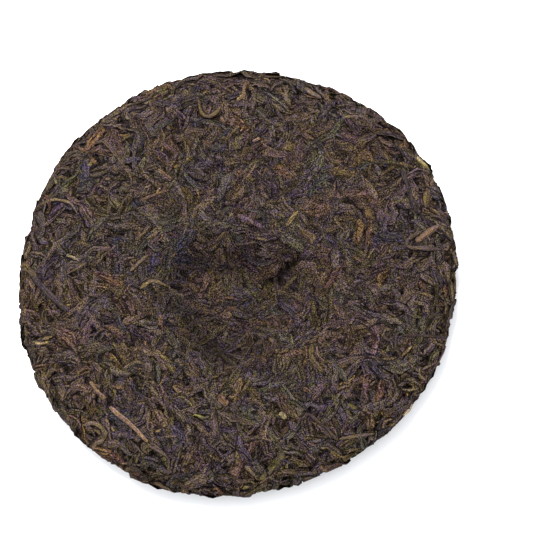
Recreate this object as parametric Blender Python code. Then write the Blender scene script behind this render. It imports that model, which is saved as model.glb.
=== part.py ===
"""A ripe pu-erh tea cake, a round cake of compressed tea leaf, lying with its dimpled side up.

It is one solid. A turned core gives the cake's form: a nearly flat face with an off-centre dimple, a
rounded rim, and a gently domed underside with a flat spot to rest on. The larger leaf strips, the hooked
curls of the rim and the stems that show on the skin are fused on to the core at their true size.
"""
import math
import random

import bmesh
import bpy
from mathutils import Vector, noise
from mathutils.geometry import delaunay_2d_cdt

MM = 0.001
SEED = 357

# Form of the cake, in millimetres
CORE_RADIUS = 96.7          # out to the rim's widest line, without the leaves that stand proud
RIM_HEIGHT = 10.6           # the rim's widest line above the table
CROWN = 11.8                # from that line up to the face
FACE_SQUARENESS = 7.0       # how flat the face runs before it turns down to the rim
DOME_SQUARENESS = 3.2       # the same for the underside, which is more domed
FLAT_RADIUS = 34.0          # the flat spot under the cake

# The dimple that the knot of the cloth left
DIMPLE_CENTRE = (0.5, -9.5)
DIMPLE_FLOOR_RADIUS = 15.0
DIMPLE_RADIUS = 35.0
DIMPLE_DEPTH = 9.6
DIMPLE_LOBES = 3
DIMPLE_LOBE_SHARE = 0.10
KNOT_RADIUS = 10.0          # the low bump that the knot left in the middle of the dimple
KNOT_HEIGHT = 1.8
SHOULDER_HEIGHT = 0.7       # the swelling all round the dimple

# Unevenness of the core
OUTLINE_LOBES = ((3, 0.63, 7.0), (4, 0.28, -44.0), (5, 0.37, -31.0))     # count, height, first peak in degrees
OUTLINE_WAVE = 0.4
FACE_WAVE = 0.5
WAVE_LENGTH = 42.0
CRUMPLE_FACE = 0.28         # half the height of the bumps between leaves, on the faces
CRUMPLE_RIM = 0.60          # and on the rim, where the leaf is pressed less
CORE_POINTS = 330           # points on each half of the core
RIM_POINTS = 72
RIM_RING_GAP = 4.2          # from the widest line to the ring of points on each side of it

# Leaves fused on, all sizes in millimetres
STRIPS_A_SIDE = 88
LOOSE_FROM = 0.80           # share of the way to the rim from where the leaf lies looser
CLEARANCE_UNDER = 0.06      # leaves stay this far above the table
SINK = 1.4                  # how deep a leaf's underside lies in the core
TIP_SINK = 0.5              # how deep its pointed ends lie
CURLS = 22

PROFILE_STEPS = 240
GOLDEN_ANGLE = math.pi * (3 - math.sqrt(5))

# Stems and leaves that stand out in the view from above: points (x, y), width, height above the skin
STEMS = {
    "broken_stem_short": ([(-63, -47), (-56, -55)], 2.1, 1.1),
    "broken_stem_long": ([(-54, -59), (-37, -75)], 2.3, 1.3),
    "broken_stem_tail": ([(-36, -76), (-28, -82), (-28, -91)], 2.0, 1.1),
    "thick_stem": ([(78, 12), (89, 22)], 2.6, 1.5),
    "hooked_stem": ([(81, 18), (77, 14), (78, 11), (91, 11)], 1.6, 1.1),
    "east_stem": ([(75, -28), (92, -27)], 1.6, 1.1),
    "south_east_stem": ([(35, -64), (48, -76)], 2.0, 1.0),
    "pale_stem": ([(48, -75), (63, -71)], 2.4, 1.2),
    "west_stem": ([(-89, 3), (-73, -14)], 2.6, 1.1),
    "dimple_stem": ([(-1, 16), (9, 16)], 1.7, 0.9),
}
LEAVES = {
    "tick_leaf_short": ([(6, -86), (13, -92)], 3.0, 1.0),
    "tick_leaf_long": ([(13, -92), (18, -88), (24, -81)], 4.4, 1.1),
    "bent_leaf": ([(36, -32), (36, -39), (41, -45)], 3.6, 1.0),
    "north_east_strip": ([(73, 48), (79, 30), (82, 27)], 2.8, 1.0),
    "east_strip": ([(81, 27), (94, 17)], 2.4, 1.0),
    "golden_strip": ([(84, 38), (84, 30)], 3.2, 1.1),
    "rim_leaf_north_east": ([(77, 56), (83, 48)], 3.4, 1.1),
    "rim_leaf_north": ([(28, 86), (37, 81)], 3.8, 1.1),
    "rim_leaf_west": ([(-95, 9), (-88, 1)], 3.6, 1.1),
    "golden_hook": ([(-18, 82), (-15, 74), (-12, 73), (-7, 78)], 2.4, 1.0),
    "arc_leaf": ([(47, 73), (56, 73), (60, 67)], 2.2, 0.9),
    "loop_leaf": ([(-66, -65), (-62, -62), (-57, -65), (-56, -70), (-60, -73)], 2.2, 1.2),
    "wide_leaf": ([(-7, -61), (-7, -74)], 5.4, 1.0),
    "olive_leaf": ([(-87, 36), (-81, 38), (-73, 35), (-70, 30)], 2.2, 1.0),
    "north_west_strip": ([(-60, 65), (-49, 50)], 2.6, 0.9),
    "orange_strip": ([(-42, 35), (-30, 40)], 2.4, 0.9),
    "orange_leaf": ([(-34, 50), (-28, 44)], 3.4, 0.9),
    "west_strip": ([(-46, 3), (-38, 10)], 2.4, 0.9),
    "crossed_strip": ([(27, 69), (23, 61)], 2.2, 0.9),
}


def smoothstep(low, high, value):
    share = min(1.0, max(0.0, (value - low) / (high - low)))
    return share * share * (3 - 2 * share)


def wave(x, y, z, length, channel):
    """Smooth unevenness between about -1 and 1 that repeats over about one length."""
    return noise.noise(Vector((x / length, y / length, z / length + 17.3 * channel)))


def half_height(share, height, squareness):
    return height * math.sqrt(max(0.0, 1 - share**squareness))


def profile_point(turn):
    """Radius and height of the bare outline: turn runs from 0 on top through the rim to pi underneath."""
    share = min(1.0, math.sin(turn))
    if turn <= math.pi / 2:
        rise = half_height(share, CROWN, FACE_SQUARENESS)
    else:
        rise = -half_height(share, RIM_HEIGHT + 0.25, DOME_SQUARENESS)
    return CORE_RADIUS * share, RIM_HEIGHT + rise


def measured_profile():
    """(distance along the outline from the top centre, radius, height) at even turns."""
    points = [profile_point(math.pi * i / PROFILE_STEPS) for i in range(PROFILE_STEPS + 1)]
    rows = [(0.0, *points[0])]
    for before, after in zip(points, points[1:]):
        rows.append((rows[-1][0] + math.dist(before, after), *after))
    return rows


PROFILE = measured_profile()
WAY = PROFILE[-1][0]
WAY_TO_RIM = PROFILE[PROFILE_STEPS // 2][0]


def outline_at(along):
    """Radius and height at a distance along the outline."""
    along = min(max(along, 0.0), WAY)
    low, high = 0, PROFILE_STEPS
    while high - low > 1:
        middle = (low + high) // 2
        if PROFILE[middle][0] <= along:
            low = middle
        else:
            high = middle
    first, last = PROFILE[low], PROFILE[high]
    share = (along - first[0]) / max(last[0] - first[0], 1e-9)
    return [a + share * (b - a) for a, b in zip(first[1:], last[1:])]


def outline_swelling(x, y):
    """How far the outline stands out beyond a true circle in the direction of (x, y)."""
    angle = math.atan2(y, x)
    lobes = sum(height * math.cos(count * (angle - math.radians(peak)))
                for count, height, peak in OUTLINE_LOBES)
    return lobes + OUTLINE_WAVE * wave(x, y, 0, WAVE_LENGTH, 1)


def dimple_drop(x, y):
    """How far the face lies below the bare outline in and round the dimple."""
    dx, dy = x - DIMPLE_CENTRE[0], y - DIMPLE_CENTRE[1]
    away = math.hypot(dx, dy)
    lobe = 1 + DIMPLE_LOBE_SHARE * math.sin(DIMPLE_LOBES * math.atan2(dy, dx) + 0.6)
    wall = 1 - smoothstep(DIMPLE_FLOOR_RADIUS * lobe, DIMPLE_RADIUS * lobe, away)
    knot = KNOT_HEIGHT * (1 - smoothstep(0.2 * KNOT_RADIUS, 1.4 * KNOT_RADIUS, away))
    swelling = SHOULDER_HEIGHT * math.exp(-(((away - 1.25 * DIMPLE_RADIUS) / 11) ** 2))
    return DIMPLE_DEPTH * wall - knot - swelling


def skin_point(pole, u, v):
    """The point of the core's skin at (u, v) on the flat map that is centred on one pole, +1 top or -1 under."""
    away, angle = math.hypot(u, v), math.atan2(v, u)
    along = away if pole > 0 else WAY - away
    radius, height = outline_at(along)
    x, y = radius * math.cos(angle), radius * math.sin(angle)
    near_rim = smoothstep(0.5, 1.0, radius / CORE_RADIUS)
    radius += near_rim * outline_swelling(x, y)
    x, y = radius * math.cos(angle), radius * math.sin(angle)
    if along < WAY_TO_RIM:
        height += FACE_WAVE * wave(x, y, 0, WAVE_LENGTH, 2) - dimple_drop(x, y)
    return Vector((x, y, max(height, 0.0)))


def skin_frame(pole, u, v, heading):
    """Point, direction along the heading, sideways direction and outward normal on the skin."""
    step = 0.4
    point = skin_point(pole, u, v)
    along_u = skin_point(pole, u + step, v) - skin_point(pole, u - step, v)
    along_v = skin_point(pole, u, v + step) - skin_point(pole, u, v - step)
    normal = along_u.cross(along_v).normalized() * pole
    ahead = along_u * math.cos(heading) + along_v * math.sin(heading)
    ahead = (ahead - normal * ahead.dot(normal)).normalized()
    return point, ahead, normal.cross(ahead), normal


def looseness(u, v):
    """0 on the hard-pressed faces, rising to 1 at the rim."""
    return smoothstep(LOOSE_FROM, 1.0, math.hypot(u, v) / WAY_TO_RIM)


def mesh_object(name, corners, faces):
    """A closed mesh as a new object, from corners in millimetres."""
    mesh = bpy.data.meshes.new(name)
    mesh.from_pydata([Vector(c) * MM for c in corners], [], faces)
    work = bmesh.new()
    work.from_mesh(mesh)
    bmesh.ops.recalc_face_normals(work, faces=work.faces)
    if work.calc_volume(signed=True) < 0:
        bmesh.ops.reverse_faces(work, faces=work.faces)
    work.to_mesh(mesh)
    work.free()
    return bpy.data.objects.new(name, mesh)


def ring_of_spots(away, count, offset):
    turns = [2 * math.pi * (i + offset) / count for i in range(count)]
    return [Vector((math.cos(turn), math.sin(turn))) * away for turn in turns]


def half_map(draw, bare_within):
    """Points of one half's flat map, spread like the seeds of a sunflower, and the triangles between them."""
    spots = []
    for i in range(CORE_POINTS):
        away = (WAY_TO_RIM - 1.9 * RIM_RING_GAP) * math.sqrt((i + 0.5) / CORE_POINTS)
        angle = i * GOLDEN_ANGLE + draw.uniform(-0.01, 0.01)
        if bare_within + 2 < away:
            spots.append(Vector((away * math.cos(angle), away * math.sin(angle))))
    if bare_within > 0:
        spots += ring_of_spots(bare_within, RIM_POINTS // 3, 0.0)
    spots += ring_of_spots(WAY_TO_RIM - RIM_RING_GAP, RIM_POINTS, 0.5)
    spots += ring_of_spots(WAY_TO_RIM, RIM_POINTS, 0.0)
    edges = [(len(spots) - RIM_POINTS + i, len(spots) - RIM_POINTS + (i + 1) % RIM_POINTS)
             for i in range(RIM_POINTS)]
    made = delaunay_2d_cdt(spots, edges, [], 1, 1e-6)
    assert len(made[0]) == len(spots)
    return spots, made[2]


def build_core(draw):
    """The core: two halves of crumpled skin that share the rim's widest line."""
    corners, faces = [], []
    top, top_faces = half_map(draw, 0.0)
    under, under_faces = half_map(draw, FLAT_RADIUS)
    for pole, spots in ((1, top), (-1, under)):
        kept = spots if pole > 0 else spots[:-RIM_POINTS]
        for u, v in kept:
            point, _, _, normal = skin_frame(pole, u, v, 0.0)
            away = math.hypot(u, v)
            bump = CRUMPLE_FACE + (CRUMPLE_RIM - CRUMPLE_FACE) * looseness(u, v)
            pressed_flat = pole < 0 and away < FLAT_RADIUS + 1e-6
            shift = 0.0 if pressed_flat else draw.uniform(-1, 1) * bump
            point = point + normal * shift
            point.z = 0.0 if pressed_flat else max(point.z, CLEARANCE_UNDER)
            corners.append(point)
    shared = len(top) - RIM_POINTS
    inner = len(under) - RIM_POINTS
    faces += [tuple(face) for face in top_faces]
    for face in under_faces:
        faces.append(tuple(i + len(top) if i < inner else i - inner + shared for i in face))
    return mesh_object("tea_cake", corners, faces)


def bar(name, pole, path, width, proud, section, lean=0.0):
    """A closed bar along a path on the skin, with pointed ends that sink in. section holds (across, up) pairs."""
    last = len(path) - 1
    sides = len(section)
    corners = []
    for i, (u, v) in enumerate(path):
        before, after = path[max(i - 1, 0)], path[min(i + 1, last)]
        heading = math.atan2(after[1] - before[1], after[0] - before[0])
        point, _, side, normal = skin_frame(pole, u, v, heading)
        if i in (0, last):
            corners.append(point - normal * TIP_SINK)
            continue
        for across, up in section:
            rise = proud * up + lean * across if up > 0 else SINK * up
            corners.append(point + side * (width / 2 * across) + normal * rise)
    for corner in corners:
        corner.z = max(corner.z, CLEARANCE_UNDER)
    faces = []
    for j in range(sides):
        k = (j + 1) % sides
        faces.append((0, 1 + j, 1 + k))
        for i in range(last - 2):
            ring = 1 + i * sides
            faces.append((ring + j, ring + sides + j, ring + sides + k, ring + k))
        ring = 1 + (last - 2) * sides
        faces.append((ring + j, ring + sides, ring + k))
    return mesh_object(name, corners, faces)


RIDGE_SECTION = ((0.0, -1.0), (1.0, -0.12), (0.15, 1.0), (-1.0, -0.12))
FLAT_SECTION = ((-0.9, -1.0), (0.9, -1.0), (0.8, 0.8), (-0.75, 1.0))
ROUND_SECTION = ((0.0, -1.0), (1.0, 0.1), (0.5, 0.95), (-0.45, 1.0), (-1.0, 0.1))


def map_spot(x, y):
    """The place on the top map of the point of the face that lies over (x, y)."""
    radius = math.hypot(x, y)
    low, high = 0.0, WAY_TO_RIM
    for _ in range(30):
        middle = (low + high) / 2
        if outline_at(middle)[0] < radius:
            low = middle
        else:
            high = middle
    return low * x / radius, low * y / radius


def bent_path(u, v, heading, length, bend, pieces):
    """Points along an arc on the flat map: bend is the turn from end to end."""
    path = []
    for i in range(pieces + 1):
        share = i / pieces - 0.5
        turn = heading + bend * share / 2
        path.append((u + length * share * math.cos(turn), v + length * share * math.sin(turn)))
    return path


def with_shoulders(path):
    """The path with a point a little way in from each end, so that a bar keeps its width up to its tips."""
    def between(a, b, share):
        return (a[0] + (b[0] - a[0]) * share, a[1] + (b[1] - a[1]) * share)

    share = min(0.35, 2.0 / math.dist(path[0], path[1]))
    back_share = min(0.35, 2.0 / math.dist(path[-2], path[-1]))
    start, end = between(path[0], path[1], share), between(path[-1], path[-2], back_share)
    return [path[0], start, *path[1:-1], end, path[-1]]


def leaf_strips(draw):
    """Leaf strips spread evenly over both faces and the rim, in every direction."""
    made = []
    for pole in (1, -1):
        for i in range(STRIPS_A_SIDE):
            away = WAY_TO_RIM * math.sqrt((i + 0.5) / STRIPS_A_SIDE)
            angle = i * GOLDEN_ANGLE + 0.7 * pole
            if pole < 0 and away < FLAT_RADIUS + 6:
                continue
            loose = looseness(away, 0.0)
            heading = draw.uniform(0, math.pi)
            if draw.random() < 0.6 * loose:
                heading = angle + math.pi / 2 + draw.uniform(-0.4, 0.4)
            length = draw.uniform(11, 20) * (1 - 0.2 * loose)
            ridged = i % 2 == 0
            width = draw.uniform(2.2, 3.2) if ridged else draw.uniform(2.8, 4.6)
            proud = draw.uniform(0.9, 1.2) if ridged else draw.uniform(0.7, 1.0)
            proud += loose * draw.uniform(0.0, 0.5)
            u, v = away * math.cos(angle), away * math.sin(angle)
            path = bent_path(u, v, heading, length, draw.uniform(-1.5, 1.5), 4 if length > 15 else 3)
            section = RIDGE_SECTION if ridged else FLAT_SECTION
            name = f"strip_{'top' if pole > 0 else 'under'}_{i}"
            made.append(bar(name, pole, path, width, proud, section, draw.uniform(-0.2, 0.2)))
    return made


def rim_curls(draw):
    """Curled leaves that stand out along the rim."""
    made = []
    for i in range(CURLS):
        angle = 2 * math.pi * (i + draw.uniform(-0.3, 0.3)) / CURLS
        pole = 1 if i % 2 == 0 else -1
        away = WAY_TO_RIM * draw.uniform(0.90, 0.99)
        u, v = away * math.cos(angle), away * math.sin(angle)
        curl_radius = draw.uniform(2.6, 4.4)
        start, sweep = draw.uniform(0, 2 * math.pi), draw.choice((-1, 1)) * draw.uniform(2.6, 4.0)
        path = []
        for k in range(6):
            turn = start + sweep * k / 5
            path.append((u + curl_radius * math.cos(turn), v + curl_radius * math.sin(turn)))
        width, proud = draw.uniform(1.8, 2.4), draw.uniform(0.9, 1.6)
        made.append(bar(f"curl_{i}", pole, path, width, proud, FLAT_SECTION))
    return made


def named_pieces():
    """The stems and large leaves that stand out in the view from above."""
    made = []
    for pieces, section in ((STEMS, ROUND_SECTION), (LEAVES, FLAT_SECTION)):
        for name, (points, width, proud) in pieces.items():
            path = [map_spot(x, y) for x, y in points]
            made.append(bar(name, 1, with_shoulders(path), width, proud, section))
    return made


def fuse(core, pieces):
    """Joins the pieces to the core with one Boolean union and removes them."""
    group = bpy.data.collections.new("pieces")
    bpy.context.scene.collection.children.link(group)
    for piece in pieces:
        group.objects.link(piece)
    union = core.modifiers.new("union", "BOOLEAN")
    union.operation = "UNION"
    union.operand_type = "COLLECTION"
    union.collection = group
    union.solver = "EXACT"
    bpy.context.view_layer.objects.active = core
    bpy.ops.object.modifier_apply(modifier=union.name)
    for piece in pieces:
        bpy.data.objects.remove(piece)
    bpy.data.collections.remove(group)


def finish_mesh(core):
    """Closes what the fusing sealed in, drops loose scraps and puts the outline's middle on the origin."""
    work = bmesh.new()
    work.from_mesh(core.data)
    bmesh.ops.triangulate(work, faces=work.faces)
    left, bodies = set(work.faces), []
    while left:
        body, open_faces = set(), [left.pop()]
        while open_faces:
            face = open_faces.pop()
            body.add(face)
            for edge in face.edges:
                for other in edge.link_faces:
                    if other in left:
                        left.remove(other)
                        open_faces.append(other)
        bodies.append(body)
    bodies.sort(key=len)
    for body in bodies[:-1]:
        bmesh.ops.delete(work, geom=list(body), context="FACES")
    for axis in (0, 1):
        places = [vertex.co[axis] for vertex in work.verts if vertex.link_faces]
        middle = (min(places) + max(places)) / 2
        for vertex in work.verts:
            vertex.co[axis] -= middle
    loose = [vertex for vertex in work.verts if not vertex.link_faces]
    bmesh.ops.delete(work, geom=loose, context="VERTS")
    work.to_mesh(core.data)
    work.free()


def pressed_leaf():
    """The dark brown of fermented, compressed leaf."""
    material = bpy.data.materials.new("pressed_leaf")
    material.use_nodes = True
    shader = material.node_tree.nodes["Principled BSDF"]
    shader.inputs["Base Color"].default_value = (0.070, 0.051, 0.040, 1.0)
    shader.inputs["Roughness"].default_value = 0.72
    shader.inputs["Metallic"].default_value = 0.0
    return material


def main():
    for old in list(bpy.data.objects):
        bpy.data.objects.remove(old)
    draw = random.Random(SEED)
    core = build_core(draw)
    bpy.context.scene.collection.objects.link(core)
    pieces = leaf_strips(draw) + rim_curls(draw) + named_pieces()
    fuse(core, pieces)
    finish_mesh(core)
    core.data.materials.clear()
    core.data.materials.append(pressed_leaf())


main()
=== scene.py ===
"""Looks of the ripe pu-erh tea cake: pressed leaves, curls, stems and crumbs over a dark core, whose
colour holds painted shade.

Every piece is closed mesh at true size. It lies on the same form as the model's solid: a nearly flat face
with an off-centre dimple, a rounded rim and a gently domed underside.
"""

import math

import bpy
import numpy as np
from mathutils import Matrix, Vector, noise


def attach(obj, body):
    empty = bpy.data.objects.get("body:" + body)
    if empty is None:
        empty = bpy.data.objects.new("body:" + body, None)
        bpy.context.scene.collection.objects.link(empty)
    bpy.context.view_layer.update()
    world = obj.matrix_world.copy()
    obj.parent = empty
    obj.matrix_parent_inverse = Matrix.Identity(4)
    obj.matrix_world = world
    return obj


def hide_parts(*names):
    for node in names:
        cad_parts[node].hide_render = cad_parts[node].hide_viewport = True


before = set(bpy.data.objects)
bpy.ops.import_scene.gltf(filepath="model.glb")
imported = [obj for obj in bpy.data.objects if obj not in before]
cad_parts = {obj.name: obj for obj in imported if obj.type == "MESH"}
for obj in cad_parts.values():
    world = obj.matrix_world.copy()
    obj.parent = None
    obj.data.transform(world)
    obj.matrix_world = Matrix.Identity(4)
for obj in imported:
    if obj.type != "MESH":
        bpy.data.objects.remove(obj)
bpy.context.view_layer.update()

MM = 0.001
NODE, BODY, SLOT = "tea_cake", "root", "pressed_leaf"

# Form of the cake, in millimetres, as in the model's source
CORE_RADIUS = 96.7
RIM_HEIGHT = 10.6
CROWN = 11.8
FACE_SQUARENESS = 7.0
DOME_SQUARENESS = 3.2
DIMPLE_CENTRE = (0.5, -9.5)
DIMPLE_FLOOR_RADIUS = 15.0
DIMPLE_RADIUS = 35.0
DIMPLE_DEPTH = 9.6
DIMPLE_LOBES = 3
DIMPLE_LOBE_SHARE = 0.10
KNOT_RADIUS = 10.0
KNOT_HEIGHT = 1.8
SHOULDER_HEIGHT = 0.7
OUTLINE_LOBES = ((3, 0.63, 7.0), (4, 0.28, -44.0), (5, 0.37, -31.0))
OUTLINE_WAVE = 0.4
FACE_WAVE = 0.5
WAVE_LENGTH = 42.0
CENTRING = (-0.611, 0.646)          # the solid's outline has its middle on the origin
LOOSE_FROM = 0.80
GOLDEN_ANGLE = math.pi * (3 - math.sqrt(5))

# Swells and notches of the outline: direction in degrees, size in millimetres, width in degrees
OUTLINE_MARKS = ((142.0, 0.9, 6.0), (164.5, -1.3, 2.2), (196.0, 0.8, 4.0), (126.0, -0.4, 4.0),
                 (95.0, -0.5, 3.0), (239.0, -0.5, 4.0), (340.0, 0.4, 5.0))
UNEVEN_LENGTH = 7.0
UNEVEN_HEIGHT = 0.32

# Crack in the dimple, given by pixels of the photograph
CRACK_PIXELS = ((265, 279), (278, 278), (287, 266), (297, 259))
CRACK_WIDTH, CRACK_DEPTH = 1.8, 1.3
# Painted shade along the crack, and its width
CRACK_PAINTED_SHADE, CRACK_PAINTED_SHADE_WIDTH = 0.90, 2.3

# Darker and, below 0, lighter places of the face: strength, width in millimetres, and photograph pixels.
# Those in the dimple and by its cracks are painted shade, and light_knot is painted light on the knot.
TONE_STROKES = {
    "crack_top": (0.70, 1.8, (277, 254), (283, 253)),
    "crack_right": (0.50, 1.8, (318, 288), (320, 293)),
    "crack_foot": (0.45, 2.0, (296, 282), (300, 276)),
    "second_crack": (0.40, 3.2, (297, 285), (289, 297)),
    "dimple_top": (0.40, 6.5, (178, 268), (198, 258), (222, 262), (244, 258)),
    "dimple_left": (0.20, 4.5, (172, 285), (178, 310)),
    "dimple_low_left": (0.45, 5.5, (192, 325), (205, 341), (228, 355)),
    "dimple_low_right": (0.35, 4.5, (255, 345), (268, 358)),
    "dark_upper_left": (0.20, 5.0, (170, 212), (182, 206)),
    "dark_upper_middle": (0.20, 5.0, (228, 206), (246, 202)),
    "dark_upper_right": (0.28, 5.0, (358, 132), (376, 143)),
    "dark_top": (0.20, 4.0, (272, 119), (286, 124)),
    "dark_right": (0.20, 4.0, (355, 220), (367, 231)),
    "dark_left_rim": (0.25, 4.0, (25, 320), (30, 336)),
    "light_knot": (-0.12, 6.0, (228, 292), (245, 302)),
    "light_left": (-0.20, 5.0, (103, 243), (115, 236)),
    "dull_upper_right": (0.12, 10.0, (350, 142), (395, 165)),
    "light_lower_left": (-0.12, 7.0, (142, 394), (205, 408)),
    "light_upper_left": (-0.15, 4.0, (168, 125), (174, 139)),
    "light_bottom": (-0.15, 4.0, (165, 410), (177, 420)),
    "light_right": (-0.15, 4.0, (405, 208), (411, 220)),
}

# Flat map of the skin, one for the face and one for the underside
MAP_REACH = 122.0
MAP_STEP = 1.0
FACE, UNDER = 0, 1

# Photograph and camera
PHOTO_PIXELS = 550
MM_PER_PIXEL = 0.4386
CAKE_PIXEL = (236.8, 281.2)
AZIMUTH, ELEVATION = math.radians(24.8), math.radians(71.5)
CAMERA_DISTANCE = 1.6
SENSOR = 36.0
SEEK_ROUNDS, SEEK_REACH = 60, 0.8   # of the search for the place that shows at a pixel
SEEK_SHARE, SEEK_STEP, SEEK_LIMIT = 0.7, 2.1, 108.0

# Pressing: how hard the leaf is pressed by place, and how flat that lays it
CLEARANCE_UNDER, FLATTENED = 0.05, 0.20     # the underside's middle is pressed flat
PRESSED_SHARE = (0.16, 0.50)        # kept of a leaf's height over its press, on hardest and softest leaf
HARD_MIDDLE = (14.0, 10.0)          # the face is pressed hardest round this place of its map
HARD_TO, SOFT_FROM = 0.28, 0.86     # shares of the way from there to the rim
UNDER_SOFTNESS = 0.35               # the least of the underside
QUIET_LENGTH, QUIET_SHARE = 11.0, 0.9    # quieter and rougher patches of the skin
SWIRL_TURN, SWIRL_LENGTH = 2.2, 16.0     # neighbours' common heading
ALIKE_SHARE, ALONG_RIM_SHARE = 0.55, 0.45

# Colour of a strip by place on it, painted shade and highlight included; a rise is what softness adds
EDGE_PAINTED_SHADE, EDGE_PAINTED_HIGHLIGHT = 1.00, 0.12    # painted shade along the outline, and a painted highlight, the thin lit line just inside it
LIT_PLACE, LIT_WIDTH = 0.75, 0.1    # in half widths
OUTLINE_SHARE, OUTLINE_RISE = 0.3, 0.6
MIDDLE_SHADE = 1.06
HEIGHT_PAINTED_SHADE, HEIGHT_RATE, HEIGHT_RISE = 0.97, 0.08, 0.37    # painted shade by height: at no height, and for each millimetre
DARKEST, LIGHTEST = 0.18, 1.15
CORNER_SPREAD = 0.04
ROUND_PAINTED_SHADE = 0.45    # painted shade toward the sides of a round piece

# Colour of the leaf by place on the cake, with painted shade in the dimple
DIMPLE_PAINTED_SHADE, SOFT_SHADE = 0.18, 0.02
HARD_SPREAD = 0.5    # share of the spread in brightness on the hardest leaf
LEAF_HUE, PATCH_HUE, RIM_HUE = 0.6, 1.1, 0.6
ACCENT_SHARE, ACCENT_RANGE = 0.04, (0.9, 1.8)
GOLDEN_AXIS = (0.14, 0.08, -0.11)
OLIVE_AXIS = (-0.06, 0.035, -0.05)

# Core below the leaf, its colour darkened by painted shade of the gaps between leaves
CORE_RINGS = 105
CORE_DEPTH, CORE_FOLDS = -0.45, 0.25

# Light
WINDOW_PLACE = (-0.22, 0.64, 1.56)
WINDOW_SIZE = 0.90
WINDOW_POWER = 56.0
SKY_STRENGTH = 1.78

# Surface of the leaf: specks and blotches per metre, fibres and streaks per millimetre along and across a
# leaf, depths in metres; HARD and SOFT are strengths on the hardest and the softest leaf
SPECK_SCALE, SPECK_DEPTH = 2300.0, 0.0018
HARD_SPECK, SOFT_SPECK = 0.92, 0.84
SPECK_RANGE = 0.10                  # of the noise, each way from its middle, from dark to light
BLOTCH_SCALE = 520.0
FIBRE_SCALE, STREAK_SCALE = (0.05, 0.38, 1.0), (0.10, 1.5, 3.0)
STREAK_SHADE = 0.43
# Creases along a leaf: how dark their painted shade is, the depth of their bump, and their share on the
# hardest leaf
CREASE_PAINTED_SHADE, CREASE_DEPTH, HARD_CREASE = 0.10, 0.0006, 0.65
SHEEN = 0.02

# Colours as they show in the photograph's light, made darker by the share of light that the leaf gets
LEAF_SHADE = (0.654, 0.653, 0.675)


def shown(*colour):
    return tuple(shade * part for shade, part in zip(LEAF_SHADE, colour))


VIOLET, WARM = shown(0.067, 0.049, 0.044), shown(0.074, 0.053, 0.041)
DUSKY, MOSSY = shown(0.060, 0.045, 0.038), shown(0.072, 0.056, 0.039)
# The core's leaf colour, made darker as painted shade in the gaps between leaves
CORE_COLOUR_WITH_PAINTED_SHADE = shown(0.022, 0.016, 0.014)
TWIG, BARK, RUST = shown(0.30, 0.195, 0.135), shown(0.170, 0.108, 0.078), shown(0.120, 0.072, 0.048)
UMBER, BROWN, DARK = shown(0.092, 0.066, 0.054), shown(0.135, 0.098, 0.068), shown(0.052, 0.040, 0.040)
GOLD, PALE, OLIVE = shown(0.185, 0.132, 0.070), shown(0.29, 0.23, 0.14), shown(0.160, 0.132, 0.064)


def smoothstep(low, high, value):
    share = np.clip((value - low) / (high - low), 0.0, 1.0)
    return share * share * (3 - 2 * share)


# Skin of the cake

def profile_tables():
    """Distance along the outline from the top centre, radius and height, at even turns."""
    turns = np.linspace(0, math.pi, 721)
    share = np.minimum(1.0, np.sin(turns))
    upper = CROWN * np.sqrt(np.maximum(0, 1 - share**FACE_SQUARENESS))
    lower = -(RIM_HEIGHT + 0.25) * np.sqrt(np.maximum(0, 1 - share**DOME_SQUARENESS))
    radius = CORE_RADIUS * share
    height = RIM_HEIGHT + np.where(turns <= math.pi / 2, upper, lower)
    steps = np.hypot(np.diff(radius), np.diff(height))
    return np.concatenate([[0.0], np.cumsum(steps)]), radius, height


WAY_ALONG, WAY_RADIUS, WAY_HEIGHT = profile_tables()
WAY = WAY_ALONG[-1]
WAY_TO_RIM = WAY_ALONG[len(WAY_ALONG) // 2]


def wave(x, y, length, channel):
    """Smooth unevenness between about -1 and 1, at each point of two arrays."""
    places = zip((x / length).ravel(), (y / length).ravel())
    values = [noise.noise(Vector((a, b, 17.3 * channel))) for a, b in places]
    return np.array(values).reshape(x.shape)


def dimple_drop(x, y):
    dx, dy = x - DIMPLE_CENTRE[0], y - DIMPLE_CENTRE[1]
    away = np.hypot(dx, dy)
    lobe = 1 + DIMPLE_LOBE_SHARE * np.sin(DIMPLE_LOBES * np.arctan2(dy, dx) + 0.6)
    wall = 1 - smoothstep(DIMPLE_FLOOR_RADIUS * lobe, DIMPLE_RADIUS * lobe, away)
    knot = KNOT_HEIGHT * (1 - smoothstep(0.2 * KNOT_RADIUS, 1.4 * KNOT_RADIUS, away))
    swelling = SHOULDER_HEIGHT * np.exp(-(((away - 1.25 * DIMPLE_RADIUS) / 11) ** 2))
    return DIMPLE_DEPTH * wall - knot - swelling


def line_distance(x, y, points):
    """Distance of each place from a line through the given points."""
    nearest = np.full(x.shape, np.inf)
    for (ax, ay), (bx, by) in zip(points, points[1:]):
        share = ((x - ax) * (bx - ax) + (y - ay) * (by - ay)) / ((bx - ax) ** 2 + (by - ay) ** 2)
        share = np.clip(share, 0.0, 1.0)
        away = np.hypot(x - ax - share * (bx - ax), y - ay - share * (by - ay))
        nearest = np.minimum(nearest, away)
    return nearest


def outline_swelling(angle, x, y):
    """How far the outline lies outside the round one, in each direction."""
    lobes = sum(tall * np.cos(count * (angle - math.radians(peak)))
                for count, tall, peak in OUTLINE_LOBES)
    degrees = np.degrees(angle)
    for middle, size, width in OUTLINE_MARKS:
        off = (degrees - middle + 180) % 360 - 180
        lobes = lobes + size * np.exp(-((off / width) ** 2))
    return lobes + OUTLINE_WAVE * wave(x, y, WAVE_LENGTH, 1)


def map_grid():
    line = np.arange(-MAP_REACH, MAP_REACH + MAP_STEP / 2, MAP_STEP)
    return np.meshgrid(line, line, indexing="ij")


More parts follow.
